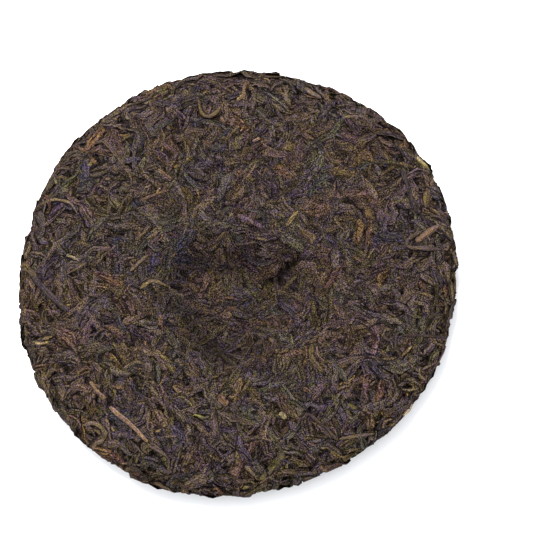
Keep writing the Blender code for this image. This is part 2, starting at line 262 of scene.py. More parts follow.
def skin_map(side):
    """Points of the skin, still without its crack, over an even grid of the side's flat map."""
    u, v = map_grid()
    away, angle = np.hypot(u, v), np.arctan2(v, u)
    along = away if side == FACE else WAY - away
    radius = np.interp(along, WAY_ALONG, WAY_RADIUS)
    height = np.interp(along, WAY_ALONG, WAY_HEIGHT)
    swelling = outline_swelling(angle, radius * np.cos(angle), radius * np.sin(angle))
    radius = radius + smoothstep(0.5, 1.0, radius / CORE_RADIUS) * swelling
    x, y = radius * np.cos(angle), radius * np.sin(angle)
    bumps = FACE_WAVE * wave(x, y, WAVE_LENGTH, 2) - dimple_drop(x, y)
    height = height + np.where(along < WAY_TO_RIM, bumps, 0.0)
    pressed = 1 - smoothstep(0.85, 1.0, radius / CORE_RADIUS)
    height = height + UNEVEN_HEIGHT * wave(x, y, UNEVEN_LENGTH, 3 + side) * pressed
    return np.stack([x + CENTRING[0], y + CENTRING[1], np.maximum(height, 0.0)], axis=-1)


SKIN = np.stack([skin_map(FACE), skin_map(UNDER)])


def skin(side, u, v):
    """Points of the skin at map places, read between the grid's points."""
    last = SKIN.shape[1] - 1.001
    a = np.clip((u + MAP_REACH) / MAP_STEP, 0, last)
    b = np.clip((v + MAP_REACH) / MAP_STEP, 0, last)
    i, j = a.astype(int), b.astype(int)
    p, q = (a - i)[..., None], (b - j)[..., None]
    low = SKIN[side, i, j] * (1 - q) + SKIN[side, i, j + 1] * q
    high = SKIN[side, i + 1, j] * (1 - q) + SKIN[side, i + 1, j + 1] * q
    return low * (1 - p) + high * p


def unit(vectors):
    return vectors / np.maximum(np.linalg.norm(vectors, axis=-1, keepdims=True), 1e-12)


def skin_normal(side, u, v):
    along_u = skin(side, u + 0.7, v) - skin(side, u - 0.7, v)
    along_v = skin(side, u, v + 0.7) - skin(side, u, v - 0.7)
    outward = np.where(side == FACE, 1.0, -1.0)[..., None]
    return unit(np.cross(along_u, along_v)) * outward


def looseness(u, v):
    """0 on the hard-pressed faces, rising to 1 at the rim."""
    return smoothstep(LOOSE_FROM, 1.0, np.hypot(u, v) / WAY_TO_RIM)


def softness(side, u, v):
    """0 on the hardest leaf, round HARD_MIDDLE, rising to 1 toward the rim, in uneven patches."""
    away = np.hypot(u - HARD_MIDDLE[0], v - HARD_MIDDLE[1])
    share = smoothstep(HARD_TO, SOFT_FROM, away / WAY_TO_RIM)
    patch = QUIET_SHARE * wave(u, v, QUIET_LENGTH, 31) * (1 - looseness(u, v))
    share = np.clip(share + patch, 0.0, 1.0)
    return np.where(side == FACE, share, UNDER_SOFTNESS + (1 - UNDER_SOFTNESS) * share)


def photo_view():
    """The photograph's view, from the side (24.8, 71.5), turned so that the cake's +Y points up in it.

    Gives its directions right, up and back toward the camera, and the point in its middle, in metres.
    """
    near = Vector((math.sin(AZIMUTH), -math.cos(AZIMUTH), 0.0))
    flat = Vector((math.cos(AZIMUTH), math.sin(AZIMUTH), 0.0))
    back = near * math.cos(ELEVATION) + Vector((0, 0, math.sin(ELEVATION)))
    down = near * math.sin(ELEVATION) - Vector((0, 0, math.cos(ELEVATION)))
    right = flat * math.cos(AZIMUTH) + down * math.sin(AZIMUTH)
    up = flat * math.sin(AZIMUTH) - down * math.cos(AZIMUTH)
    middle = PHOTO_PIXELS / 2
    aside = (middle - CAKE_PIXEL[0]) * MM_PER_PIXEL * MM
    above = (CAKE_PIXEL[1] - middle) * MM_PER_PIXEL * MM
    target = Vector((0, 0, RIM_HEIGHT * MM)) + right * aside + up * above
    return right, up, back, target


def shown_pixels(places):
    """The photograph's pixels at which places of the face's map show."""
    right, up, back, target = (np.array(part) for part in photo_view())
    point = skin(np.full(len(places), FACE), places[:, 0], places[:, 1]) * MM
    away = point - (target + back * CAMERA_DISTANCE)
    scale = CAMERA_DISTANCE / (MM_PER_PIXEL * MM) / -(away @ back)
    middle = PHOTO_PIXELS / 2
    return np.stack([middle + away @ right * scale, middle - away @ up * scale], axis=-1)


def map_places(pixels):
    """Places of the face's map that show at pixels of the photograph, to a tenth of a millimetre."""
    pixels = np.array(pixels, float)
    places = (pixels - CAKE_PIXEL) * (MM_PER_PIXEL, -MM_PER_PIXEL)
    for _ in range(SEEK_ROUNDS):
        slopes = [(shown_pixels(places + way) - shown_pixels(places - way)) / (2 * SEEK_REACH)
                  for way in SEEK_REACH * np.eye(2)]
        gap = pixels - shown_pixels(places)
        step = np.linalg.solve(np.stack(slopes, axis=-1), gap[..., None])[..., 0]
        length = np.maximum(np.linalg.norm(step, axis=-1, keepdims=True), 1e-9)
        places = places + step * np.minimum(SEEK_SHARE, SEEK_STEP / length)
        reach = np.maximum(np.linalg.norm(places, axis=-1, keepdims=True), 1e-9)
        places = places * np.minimum(1.0, SEEK_LIMIT / reach)
    return np.round(places, 1)


CRACK = map_places(CRACK_PIXELS)
SKIN[FACE, ..., 2] -= CRACK_DEPTH * np.exp(-((line_distance(*map_grid(), CRACK) / CRACK_WIDTH) ** 2))
# Painted shade along the crack, and the darker and lighter strokes, among them painted shade and light in
# the dimple
PAINTED_SHADE_AND_TONE = [(CRACK_PAINTED_SHADE, CRACK_PAINTED_SHADE_WIDTH, CRACK)]
PAINTED_SHADE_AND_TONE += [(strength, width, map_places(pixels)) for strength, width, *pixels in TONE_STROKES.values()]


def tone(side, u, v):
    """Brightness of the leaf by place: painted shade in the dimple and along the crack, and the darker
    and lighter strokes.
    """
    away = np.hypot(u - DIMPLE_CENTRE[0], v - DIMPLE_CENTRE[1])
    shade = 1 - DIMPLE_PAINTED_SHADE * (1 - smoothstep(10.0, 36.0, away))
    for strength, width, points in PAINTED_SHADE_AND_TONE:
        shade = shade * (1 - strength * np.exp(-((line_distance(u, v, points) / width) ** 2)))
    return np.where(side == FACE, shade, 1.0)


# Strips of leaf

def flattened(height, least):
    """Heights kept above the least one, in the same order."""
    return least + FLATTENED * np.logaddexp(0.0, (height - least) / FLATTENED)


def lay_strips(side, path, half_width, lift, roll, section, press):
    """Corners of closed strips along paths on the skin, and how far each corner lies from the skin.

    side is (pieces,), path (pieces, rings, 2), half_width, lift and roll (pieces, rings), section the
    (across, up) of (pieces, rings, corners) in half widths and millimetres, and press the height above
    which the leaf is pressed down.
    """
    u, v = path[..., 0], path[..., 1]
    which = np.broadcast_to(side[:, None], u.shape)
    point, normal = skin(which, u, v), skin_normal(which, u, v)
    ahead = np.gradient(point, axis=1)
    ahead = unit(ahead - normal * (ahead * normal).sum(-1, keepdims=True))
    sideways = np.cross(normal, ahead)
    across, up = section
    across = across * half_width[..., None]
    turn = roll[..., None]
    out = lift[..., None] + across * np.sin(turn) + up * np.cos(turn)
    aside = across * np.cos(turn) - up * np.sin(turn)
    over = out - press[:, None, None]
    give = PRESSED_SHARE[0] + (PRESSED_SHARE[1] - PRESSED_SHARE[0]) * softness(which, u, v)[..., None]
    out = np.where(over > 0, press[:, None, None] + give * over, out)
    corner = point[:, :, None] + sideways[:, :, None] * aside[..., None]
    corner = corner + normal[:, :, None] * out[..., None]
    corner[..., 2] = flattened(corner[..., 2], CLEARANCE_UNDER)
    return corner, out


def strip_faces(pieces, rings, corners):
    """Quads of closed strips with capped ends, and their places on a grid of islands in the UV square."""
    ring, corner = np.meshgrid(np.arange(rings - 1), np.arange(corners), indexing="ij")
    after = (corner + 1) % corners
    walls = np.stack([ring * corners + corner, (ring + 1) * corners + corner,
                      (ring + 1) * corners + after, ring * corners + after], axis=-1).reshape(-1, 4)
    places = np.stack([ring, corner, ring + 1, corner, ring + 1, corner + 1, ring, corner + 1], axis=-1)
    places = places.reshape(-1, 4, 2) / np.array([rings - 1, corners]) * np.array([0.80, 0.90]) + 0.05
    caps, cap_places = [], []
    for start, shift in ((0, 0.88), ((rings - 1) * corners, 0.94)):
        for k in range(0, corners - 2, 2):
            quad = [0, k + 1, k + 2, k + 3]
            quad = quad if start == 0 else quad[::-1]
            caps.append([start + c for c in quad])
            spots = [(shift + 0.02 * math.cos(2 * math.pi * c / corners),
                      0.5 + 0.3 * math.sin(2 * math.pi * c / corners)) for c in quad]
            cap_places.append(spots)
    faces = np.concatenate([walls, np.array(caps)])
    places = np.concatenate([places, np.array(cap_places)])
    columns = max(1, round(math.sqrt(pieces / 2.2)))
    rows = math.ceil(pieces / columns)
    index = np.arange(pieces)
    cell = np.stack([index % columns, index // columns], axis=-1)
    uv = (cell[:, None, None] + places[None]) / np.array([columns, rows])
    every = faces[None] + (index * rings * corners)[:, None, None]
    return every.reshape(-1, 4), uv.reshape(-1, 2)


def mesh_piece(name, corners, faces, uv, tint, grain, soft, material):
    """A piece of the cake from arrays, in millimetres."""
    mesh = bpy.data.meshes.new(name)
    flat = (corners.reshape(-1, 3) * MM).astype(np.float32)
    mesh.vertices.add(len(flat))
    mesh.vertices.foreach_set("co", flat.ravel())
    mesh.loops.add(faces.size)
    mesh.loops.foreach_set("vertex_index", faces.astype(np.int32).ravel())
    mesh.polygons.add(len(faces))
    mesh.polygons.foreach_set("loop_start", np.arange(len(faces), dtype=np.int32) * faces.shape[1])
    mesh.update(calc_edges=True)
    mesh.shade_smooth()
    layer = mesh.uv_layers.new(name="OFBake")
    layer.data.foreach_set("uv", uv.astype(np.float32).ravel())
    colours = np.concatenate([tint.reshape(-1, 3), np.ones((len(flat), 1))], axis=1)
    attribute = mesh.attributes.new("tint", "FLOAT_COLOR", "POINT")
    attribute.data.foreach_set("color", colours.astype(np.float32).ravel())
    attribute = mesh.attributes.new("grain", "FLOAT_VECTOR", "POINT")
    attribute.data.foreach_set("vector", grain.astype(np.float32).reshape(-1))
    attribute = mesh.attributes.new("soft", "FLOAT", "POINT")
    attribute.data.foreach_set("value", soft.astype(np.float32).ravel())
    mesh.materials.append(material)
    piece = bpy.data.objects.new(name, mesh)
    bpy.context.scene.collection.objects.link(piece)
    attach(piece, BODY)
    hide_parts(NODE)
    return piece


def corner_places(tops):
    """Places of the top's corners across a strip, closer together toward its edges."""
    line = np.linspace(1, -1, tops)
    return np.sign(line) * np.abs(line) ** 0.7


def strip_section(draw, shape, corners, form):
    """(across, up) of a strip's corners: a top with folds along it, over a point underneath."""
    tops = corners - 1
    across = corner_places(tops)
    edge = np.abs(across) ** form["square"]
    wander = np.cumsum(draw.normal(size=(*shape, 1)) * 0.2, axis=1)
    waves = np.sin(form["fold_count"] * across + wander + draw.uniform(0, 6.3, (shape[0], 1, 1)))
    up = -form["drop"] * edge + form["folds"] * waves * (1 - 0.5 * edge)
    up = up + form["wrinkle"] * draw.normal(size=(*shape, tops))
    across = across + draw.normal(size=(*shape, tops)) * 0.06
    across = np.concatenate([across, np.zeros((*shape, 1))], axis=-1)
    under = np.broadcast_to(-form["depth"], (*shape, 1))
    return across, np.concatenate([up, under], axis=-1)


def strip_tints(draw, colours, out, corners, soft, sides):
    """Corner colours of strips, with painted shade: lighter on high corners, darker on sunken ones, and
    dark along the outline.

    A painted highlight, a thin lit line, runs just inside the outline, and sides is how much painted
    shade darkens a round piece sideways.
    """
    across = np.abs(corner_places(corners - 1))
    # Painted highlight in a thin lit line inside the outline; painted shade along the outline, toward a
    # round piece's sides and at the corner underneath
    lit = EDGE_PAINTED_HIGHLIGHT * np.exp(-(((across - LIT_PLACE) / LIT_WIDTH) ** 2))
    top = EDGE_PAINTED_SHADE * across**8 + sides * across**2 - lit
    outline = np.concatenate([top, [EDGE_PAINTED_SHADE]]) * (OUTLINE_SHARE + OUTLINE_RISE * soft)
    # Painted shade by height: sunken corners darker, high ones lighter
    height = np.clip(HEIGHT_PAINTED_SHADE + (HEIGHT_RATE + HEIGHT_RISE * soft) * out, DARKEST, LIGHTEST)
    height = height * (1 - SOFT_SHADE * soft)
    patch = np.exp(CORNER_SPREAD * draw.normal(size=out.shape))
    return colours[:, None, None] * ((MIDDLE_SHADE - outline) * height * patch)[..., None]


def strip_grain(draw, pieces, rings, corners, length, width):
    """Places along and across each strip in millimetres, and a number of its own, for the fibres."""
    along = np.linspace(-0.5, 0.5, rings)[None, :, None] * length[:, None, None]
    across = np.linspace(0.5, -0.5, corners)[None, None] * width[:, None, None]
    shift = draw.uniform(0, 400, (pieces, 1, 1))
    shape = (pieces, rings, corners)
    return np.stack([np.broadcast_to(along + shift, shape), np.broadcast_to(across, shape),
                     np.broadcast_to(shift * 3.1, shape)], axis=-1)


def strip_piece(name, draw, strips, form, colours, material):
    """One kind of strip as a piece. strips holds side, path, half, lift, roll, press and length."""
    count, rings = strips["half"].shape
    corners = form["corners"]
    section = strip_section(draw, (count, rings), corners, form)
    corner, out = lay_strips(strips["side"], strips["path"], strips["half"], strips["lift"],
                             strips["roll"], section, strips["press"])
    faces, uv = strip_faces(count, rings, corners)
    side = np.broadcast_to(strips["side"][:, None], (count, rings))
    # Painted shade in the dimple and along the crack, and the darker and lighter strokes
    shade = tone(side, strips["path"][..., 0], strips["path"][..., 1])
    soft = softness(side, strips["path"][..., 0], strips["path"][..., 1])
    soft = np.broadcast_to(soft[..., None], (count, rings, corners))
    tint = strip_tints(draw, colours, out, corners, soft, form.get("sides", 0.0))
    tint = tint * shade[..., None, None]
    grain = strip_grain(draw, count, rings, corners, strips["length"], 2 * strips["half"].max(axis=1))
    return mesh_piece(name, corner, faces, uv, tint, grain, soft, material)


def scattered(draw, count, start):
    """Map places spread evenly over both sides, and the side of each."""
    index = np.arange(count)
    side = index % 2
    away = WAY_TO_RIM * np.sqrt((index // 2 + draw.uniform(0.05, 0.95, count)) / (count / 2))
    angle = index // 2 * GOLDEN_ANGLE + start + draw.normal(size=count) * 0.02
    return side, away * np.cos(angle), away * np.sin(angle), angle


def headings(draw, u, v, angle, loose):
    """Directions of leaves: alike among neighbours, and often along the rim near it."""
    swirl = SWIRL_TURN * math.pi * wave(u, v, SWIRL_LENGTH, 7)
    heading = np.where(draw.random(len(u)) < ALIKE_SHARE, swirl + draw.normal(size=len(u)) * 0.45,
                       draw.uniform(0, math.pi, len(u)))
    tangent = draw.random(len(u)) < ALONG_RIM_SHARE * loose
    return np.where(tangent, angle + math.pi / 2 + draw.normal(size=len(u)) * 0.4, heading)


def arc_paths(u, v, heading, length, bend, wiggle, rings):
    """Paths on the flat map, bent like an arc and a little like an S."""
    share = np.linspace(-1, 1, rings)[None]
    along = share * length[:, None] / 2
    swing = bend[:, None] * (share**2 - 0.33) + wiggle[:, None] * np.sin(3 * share)
    aside = length[:, None] / 2 * swing
    c, s = np.cos(heading)[:, None], np.sin(heading)[:, None]
    return np.stack([u[:, None] + along * c - aside * s, v[:, None] + along * s + aside * c], axis=-1)


def palette(draw, u, v, colours, spread):
    """A colour for each piece, near one of a few colours and somewhat like its neighbours'."""
    count = len(u)
    colours = np.array(colours)
    picked = colours[draw.integers(0, len(colours), count)]
    even = HARD_SPREAD + (1 - HARD_SPREAD) * softness(FACE, u, v)[:, None]
    bright = np.exp(spread * even * draw.normal(size=(count, 1)))
    golden = LEAF_HUE * draw.normal(size=count) + PATCH_HUE * (wave(u, v, 15.0, 21) + wave(u, v, 7.0, 22))
    accent = draw.random(count) < ACCENT_SHARE
    golden = golden + np.where(accent, draw.uniform(*ACCENT_RANGE, count), 0.0)
    golden = golden + RIM_HUE * looseness(u, v)
    olive = LEAF_HUE * draw.normal(size=count) + PATCH_HUE * (wave(u, v, 18.0, 23) + wave(u, v, 8.0, 24))
    hue = golden[:, None] * np.array(GOLDEN_AXIS) + olive[:, None] * np.array(OLIVE_AXIS)
    return picked * bright * np.exp(hue)


def leaf_layer(name, seed, count, width_range, length_range, colours, spread, material):
    """One kind of pressed leaf, over both faces and round the rim."""
    draw = np.random.default_rng(seed)
    rings = 8
    side, u, v, angle = scattered(draw, count, seed * 1.7)
    loose = looseness(u, v)
    length = length_range[0] + (length_range[1] - length_range[0]) * draw.beta(1.6, 3.0, count)
    width = width_range[0] + (width_range[1] - width_range[0]) * draw.beta(1.8, 2.4, count)
    width = width * (1 - 0.05 * loose)
    bend = draw.normal(size=count) * (0.22 + 0.25 * loose)
    heading = headings(draw, u, v, angle, loose)
    path = arc_paths(u, v, heading, length, bend, draw.normal(size=count) * 0.06, rings)
    path = path + draw.normal(size=path.shape) * 0.06 * width[:, None, None]
    share = np.linspace(-1, 1, rings)[None]
    blunt = draw.uniform(2.0, 7.0, count)[:, None]
    taper = np.sqrt(np.maximum(0.04, 1 - np.abs(share) ** blunt))
    half = width[:, None] / 2 * taper * np.exp(0.14 * draw.normal(size=(count, rings)))
    soft = softness(side, u, v)
    top = draw.uniform(-0.40, 0.45, count) * (0.55 + 0.45 * soft)
    top = top + loose * draw.uniform(-0.80, 1.00, count)
    tip = (0.25 + 0.35 * loose)[:, None] * np.abs(share) ** 4
    pitch = draw.normal(size=count)[:, None] * (0.07 + 0.25 * loose)[:, None] * share
    steep = (0.05 + 0.30 * loose)[:, None]
    roll = draw.normal(size=(count, 1)) * steep + draw.normal(size=(count, 1)) * steep * share
    lying = loose[:, None, None]
    drop = ((0.12 + 0.40 * draw.random(count)) * (0.5 + 0.6 * soft))[:, None, None] * (1 + 0.9 * lying)
    form = dict(corners=8, square=7.0 - 4.0 * lying, drop=drop, folds=0.07 + 0.08 * lying,
                fold_count=draw.uniform(2.5, 6.0, (count, 1, 1)), wrinkle=0.025 + 0.035 * lying,
                depth=0.9)
    press = 0.08 + 1.1 * loose + 0.04 * draw.normal(size=count)
    strips = dict(side=side, path=path, half=half, lift=top[:, None] - tip + pitch, roll=roll,
                  press=press, length=length)
    return strip_piece(name, draw, strips, form, palette(draw, u, v, colours, spread), material)


def bud_layer(name, seed, count, colours, material):
    """Small pale buds and leaf tips that show on top."""
    draw = np.random.default_rng(seed)
    rings = 6
    side, u, v, angle = scattered(draw, count, seed * 2.3)
    loose = looseness(u, v)
    length = draw.gamma(4.0, 0.8, count) + 1.2
    width = np.clip(draw.normal(1.3, 0.35, count), 0.7, 2.2)
    heading = headings(draw, u, v, angle, loose)
    bend = draw.normal(size=count) * 0.3
    path = arc_paths(u, v, heading, length, bend, draw.normal(size=count) * 0.1, rings)
    share = np.linspace(-1, 1, rings)[None]
    half = width[:, None] / 2 * np.sqrt(np.maximum(0.05, 1 - np.abs(share) ** 3))
    half = half * np.exp(0.15 * draw.normal(size=half.shape))
    lift = (0.16 + 0.7 * loose * draw.random(count))[:, None] - 0.25 * np.abs(share) ** 3
    roll = draw.normal(size=(count, 1)) * 0.1 + 0 * share
    form = dict(corners=6, square=2.6, drop=0.3, folds=0.04, fold_count=4.0, wrinkle=0.03, depth=0.7)
    strips = dict(side=side, path=path, half=half, lift=lift, roll=roll, press=0.12 + 1.2 * loose,
                  length=length)
    return strip_piece(name, draw, strips, form, palette(draw, u, v, colours, 0.25), material)


def curl_layer(name, seed, count, colours, material):
    """Hooked and curled leaves, most of them along the rim."""
    draw = np.random.default_rng(seed)
    rings = 12
    index = np.arange(count)
    angle = 2 * math.pi * (index + draw.uniform(-0.5, 0.5, count)) / count
    inward = np.where(draw.random(count) < 0.75, draw.gamma(1.6, 4.5, count), draw.uniform(0, 75, count))
    away = WAY_TO_RIM - np.clip(inward, 0, 88) + 1.5
    u, v = away * np.cos(angle), away * np.sin(angle)
    loose = looseness(u, v)
    radius = draw.uniform(1.8, 4.4, count)
    sweep = draw.choice((-1, 1), count) * draw.uniform(1.6, 4.6, count)
    turn = draw.uniform(0, 2 * math.pi, count)[:, None] + sweep[:, None] * np.linspace(0, 1, rings)[None]
    stretch = draw.uniform(0.45, 1.0, count)[:, None]
    lean = draw.uniform(0, math.pi, count)[:, None]
    a, b = radius[:, None] * np.cos(turn), stretch * radius[:, None] * np.sin(turn)
    path = np.stack([u[:, None] + a * np.cos(lean) - b * np.sin(lean),
                     v[:, None] + a * np.sin(lean) + b * np.cos(lean)], axis=-1)
    share = np.linspace(-1, 1, rings)[None]
    half = draw.uniform(0.5, 1.0, (count, 1)) * np.sqrt(np.maximum(0.08, 1 - np.abs(share) ** 4))
    half = half * np.exp(0.12 * draw.normal(size=half.shape))
    lift = (draw.uniform(-0.05, 0.2, count) + loose * draw.uniform(0.1, 0.8, count))[:, None]
    lift = lift - 0.5 * np.abs(share) ** 5 + 0.2 * loose[:, None] * np.sin(2.5 * share + turn[:, :1])
    roll = draw.normal(size=(count, 1)) * 0.25 + 0.35 * draw.normal(size=(count, 1)) * share
    form = dict(corners=6, square=2.4, drop=0.45, folds=0.05, fold_count=3.0, wrinkle=0.05, depth=0.9)
    strips = dict(side=index % 2, path=path, half=half, lift=lift, roll=roll, press=0.12 + 1.4 * loose,
                  length=radius * np.abs(sweep))
    return strip_piece(name, draw, strips, form, palette(draw, u, v, colours, 0.18), material)


def crumb_layer(name, seed, count, colours, material):
    """Leaf crumbs, pressed into the skin."""
    draw = np.random.default_rng(seed)
    rings = 3
    side, u, v, angle = scattered(draw, count, seed * 0.9)
    loose = looseness(u, v)
    length = draw.uniform(0.8, 2.8, count)
    width = length * draw.uniform(0.4, 0.9, count)
    zero = np.zeros(count)
    path = arc_paths(u, v, draw.uniform(0, math.pi, count), length, zero, zero, rings)
    share = np.linspace(-1, 1, rings)[None]
    half = width[:, None] / 2 * (1 - 0.5 * np.abs(share)) * np.exp(0.2 * draw.normal(size=(count, rings)))
    lift = (draw.uniform(-0.05, 0.22, count) + 0.4 * loose * draw.random(count))[:, None]
    lift = lift - 0.2 * np.abs(share)
    roll = draw.normal(size=(count, 1)) * 0.2 + 0 * share
    form = dict(corners=4, square=2.0, drop=0.2, folds=0.0, fold_count=1.0, wrinkle=0.05, depth=0.6)
    strips = dict(side=side, path=path, half=half, lift=lift, roll=roll, press=0.14 + 1.1 * loose,
                  length=length)
    return strip_piece(name, draw, strips, form, palette(draw, u, v, colours, 0.22), material)


# Brightness of the leaves and stems that stand out, in six steps
FAINT, DIM, DULL, PLAIN, LIT, BRIGHT = 0.52, 0.68, 0.86, 1.05, 1.22, 1.60

# Those stems and leaves: width and height over the skin in millimetres, brightness, colour, photo pixels
STEMS = {
    "twig_short": (2.2, 0.9, DIM, TWIG, (90, 382), (97, 391), (105, 399)),
    "twig_long": (2.2, 1.2, DULL, TWIG, (110, 407), (130, 424), (148, 442)),
    "twig_tail": (1.9, 0.9, DULL, UMBER, (148, 444), (168, 458), (168, 481)),
    "thick_stem": (3.3, 1.4, PLAIN, BARK, (416, 242), (425, 235), (437, 227)),
    "hooked_stem": (2.0, 1.5, PLAIN, UMBER, (421, 232), (408, 240), (409, 248), (440, 250)),
    "thin_stem_right": (1.4, 0.9, FAINT, UMBER, (402, 335), (424, 336), (446, 337)),
    "reddish_strip": (1.7, 0.8, DIM, UMBER, (309, 414), (324, 427), (339, 441)),
    "long_strip_left": (3.2, 1.2, LIT, DARK, (33, 276), (48, 292), (68, 311)),
    "dimple_stem": (1.5, 0.5, BRIGHT, UMBER, (234, 245), (245, 244), (256, 242)),
    "dimple_stem_end": (1.3, 0.8, DULL, BROWN, (257, 238), (267, 240)),
    "orange_strip": (1.6, 0.5, DULL, BARK, (140, 200), (154, 195), (168, 190)),
    "orange_bit": (1.6, 0.7, BRIGHT, BARK, (253, 142), (260, 138)),
    "thin_brown_stem": (1.1, 0.4, LIT, BROWN, (330, 325), (321, 333), (312, 341)),
    "grey_strip": (1.2, 0.4, BRIGHT, DARK, (222, 353), (235, 344), (247, 333)),
}
LEAVES = {
    "tick_short": (2.4, 0.7, DULL, BROWN, (244, 465), (260, 480)),
    "tick_long": (4.0, 0.9, FAINT, OLIVE, (260, 480), (272, 468), (284, 453)),
    "light_strip": (2.1, 0.9, DIM, BROWN, (339, 439), (357, 436), (375, 433)),
    "gold_bent": (2.4, 0.7, DIM, GOLD, (312, 344), (312, 358), (323, 372)),
    "red_line": (0.9, 0.6, LIT, BARK, (317, 346), (318, 355), (326, 363)),
    "dark_right": (2.0, 0.7, FAINT, DARK, (419, 215), (435, 228), (451, 241)),
    "dark_upper_right": (2.4, 0.8, PLAIN, DARK, (402, 169), (414, 208), (421, 215)),
    "brown_right": (1.6, 0.4, DIM, BROWN, (389, 248), (381, 258), (372, 267)),
    "gold_broad": (3.2, 1.3, DIM, GOLD, (426, 192), (426, 208)),
    "gold_on_rim": (2.6, 1.1, BRIGHT, OLIVE, (412, 155), (430, 171)),
    "brown_top": (2.8, 1.1, DULL, BROWN, (303, 89), (321, 99)),
    "top_curl": (2.5, 1.0, FAINT, GOLD, (198, 99), (202, 113), (209, 117), (216, 113), (221, 106)),
    "long_arc": (1.8, 0.7, DULL, BROWN, (344, 117), (365, 118), (372, 129)),
    "loop": (2.3, 1.4, PLAIN, BROWN, (84, 425), (95, 423), (105, 430), (104, 440), (95, 443)),
    "wide_leaf": (4.4, 0.4, LIT, UMBER, (214, 409), (214, 437)),
    "rust_leaf": (4.0, 0.8, BRIGHT, RUST, (219, 395), (227, 406)),
    "olive_arc": (1.8, 0.7, DULL, BROWN, (40, 206), (53, 200), (70, 203), (77, 213)),
    "dark_upper_left": (1.8, 0.5, PLAIN, UMBER, (103, 139), (115, 154), (126, 168)),
    "orange_leaf": (2.4, 0.4, PLAIN, BARK, (158, 169), (172, 181)),
    "pinkish_strip": (2.0, 0.8, DIM, BROWN, (130, 271), (140, 262), (149, 255)),
    "crossbar": (1.5, 0.4, FAINT, BROWN, (289, 120), (303, 120)),
    "crossed_strip": (1.6, 0.4, DIM, UMBER, (298, 124), (289, 141)),
    "golden_arc": (2.5, 0.7, DULL, GOLD, (140, 289), (152, 281), (167, 286)),
    "golden_arc_low": (1.5, 0.4, PLAIN, BROWN, (121, 371), (135, 362), (149, 366)),
    "gold_left": (1.8, 0.8, DIM, GOLD, (42, 340), (53, 336)),
    "left_edge": (4.2, 0.8, FAINT, BROWN, (22, 267), (30, 271), (37, 279)),
    "gold_short": (1.6, 1.0, LIT, GOLD, (402, 356), (412, 346)),
    "pale_strip": (1.2, 0.5, LIT, BROWN, (272, 414), (265, 434)),
    "bud": (2.2, 0.8, PLAIN, GOLD, (286, 227), (298, 211)),
    "brown_hook": (1.2, 0.5, DIM, BROWN, (324, 146), (330, 159), (339, 164)),
    "gold_top": (2.2, 0.8, DULL, GOLD, (237, 101), (244, 96)),
    "pale_left": (1.5, 0.5, DIM, PALE, (66, 255), (72, 257), (79, 261)),
    "rim_upper_left": (2.4, 0.8, BRIGHT, BROWN, (114, 115), (133, 104)),
    "dimple_patch": (2.2, 0.4, DIM, RUST, (226, 308), (238, 310)),
    "knot_strip": (1.6, 0.6, DULL, RUST, (224, 298), (234, 298)),
    "small_ring": (1.2, 0.6, DULL, BROWN, (393, 330), (386, 330), (384, 336), (389, 340), (394, 337)),
    "pale_on_rim": (2.6, 1.2, BRIGHT, PALE, (401, 416), (411, 403)),
    "pale_speck": (3.2, 1.0, PLAIN, PALE, (280, 413), (286, 419)),
    "brown_by_twig": (2.0, 0.5, DIM, BARK, (111, 387), (124, 388)),
    "rust_spot": (2.6, 0.3, DULL, RUST, (260, 358), (267, 361)),
    "rust_spot_low": (2.4, 0.4, PLAIN, RUST, (303, 388), (311, 392)),
    "rust_spot_top": (3.2, 0.3, DIM, RUST, (203, 141), (211, 145)),
    "olive_leaf": (2.8, 0.6, FAINT, OLIVE, (348, 404), (358, 410)),
    "bud_over_curl": (1.4, 0.5, LIT, GOLD, (203, 94), (208, 91)),
    "red_pair_left": (1.8, 0.7, DULL, BARK, (221, 117), (225, 123)),
    "red_pair_right": (1.8, 0.7, BRIGHT, BARK, (231, 126), (234, 118)),
    "olive_spot": (2.6, 0.4, PLAIN, OLIVE, (87, 165), (92, 164)),
    "olive_spot_left": (2.2, 0.5, PLAIN, OLIVE, (62, 190), (69, 191)),
    "olive_spot_rim": (1.8, 0.6, DULL, OLIVE, (55, 177), (57, 184)),
    "brown_wedge": (2.6, 0.4, DIM, BARK, (100, 249), (111, 248)),
    "thin_arc_left": (1.2, 0.4, DULL, BROWN, (62, 277), (75, 270), (88, 262)),
    "rim_leaf_left": (2.4, 0.6, DIM, BROWN, (102, 140), (112, 148)),
    "rim_strip_right": (1.8, 0.6, DULL, UMBER, (350, 108), (372, 118)),
    "orange_left": (1.6, 0.6, DIM, BARK, (29, 280), (34, 290)),
}


def smooth_path(points, rings):
    """Points evenly along a curve through the given map places."""
    points = np.array(points, float)
    if len(points) == 2:
        share = np.linspace(0, 1, rings)[:, None]
        return points[0] * (1 - share) + points[1] * share
    padded = np.vstack([2 * points[0] - points[1], points, 2 * points[-1] - points[-2]])
    dense = []
    for k in range(len(points) - 1):
        a, b, c, d = padded[k:k + 4]
        t = np.linspace(0, 1, 24, endpoint=False)[:, None]
        dense.append(0.5 * (2 * b + (c - a) * t + (2 * a - 5 * b + 4 * c - d) * t**2
                            + (3 * b - a - 3 * c + d) * t**3))
    dense = np.vstack([*dense, points[-1:]])
    along = np.concatenate([[0], np.cumsum(np.linalg.norm(np.diff(dense, axis=0), axis=1))])
    spots = np.linspace(0, along[-1], rings)
    return np.stack([np.interp(spots, along, dense[:, 0]), np.interp(spots, along, dense[:, 1])], axis=-1)


